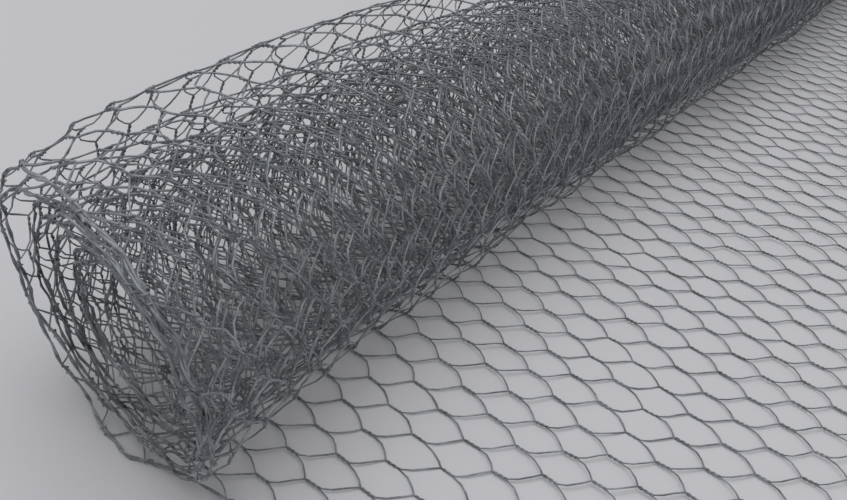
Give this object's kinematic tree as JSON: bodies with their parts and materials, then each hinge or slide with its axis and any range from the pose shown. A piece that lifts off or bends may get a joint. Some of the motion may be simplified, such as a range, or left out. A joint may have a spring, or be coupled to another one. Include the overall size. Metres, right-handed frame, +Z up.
{
  "type": "roll of chicken wire",
  "caption": "Part-used roll of galvanised hexagonal wire netting lying on its side, its outer end unrolled flat beside it, with an open bore.",
  "frame": {"origin": "on the floor, under the middle of the whole piece: the roll and its unrolled end", "axes": "+X along the roll and through its bore, -Y from the roll towards the free end, +Z up from the floor"},
  "size_m": [1.22, 0.4218, 0.15],
  "materials": {
    "galvanised_wire": "dull hot-dip galvanised wire, weathered to a blue grey"
  },
  "bodies": {
    "root": {"wound_roll": "galvanised_wire", "free_end_near": "galvanised_wire", "free_end_middle": "galvanised_wire", "free_end_far": "galvanised_wire"}
  },
  "joints": []
}
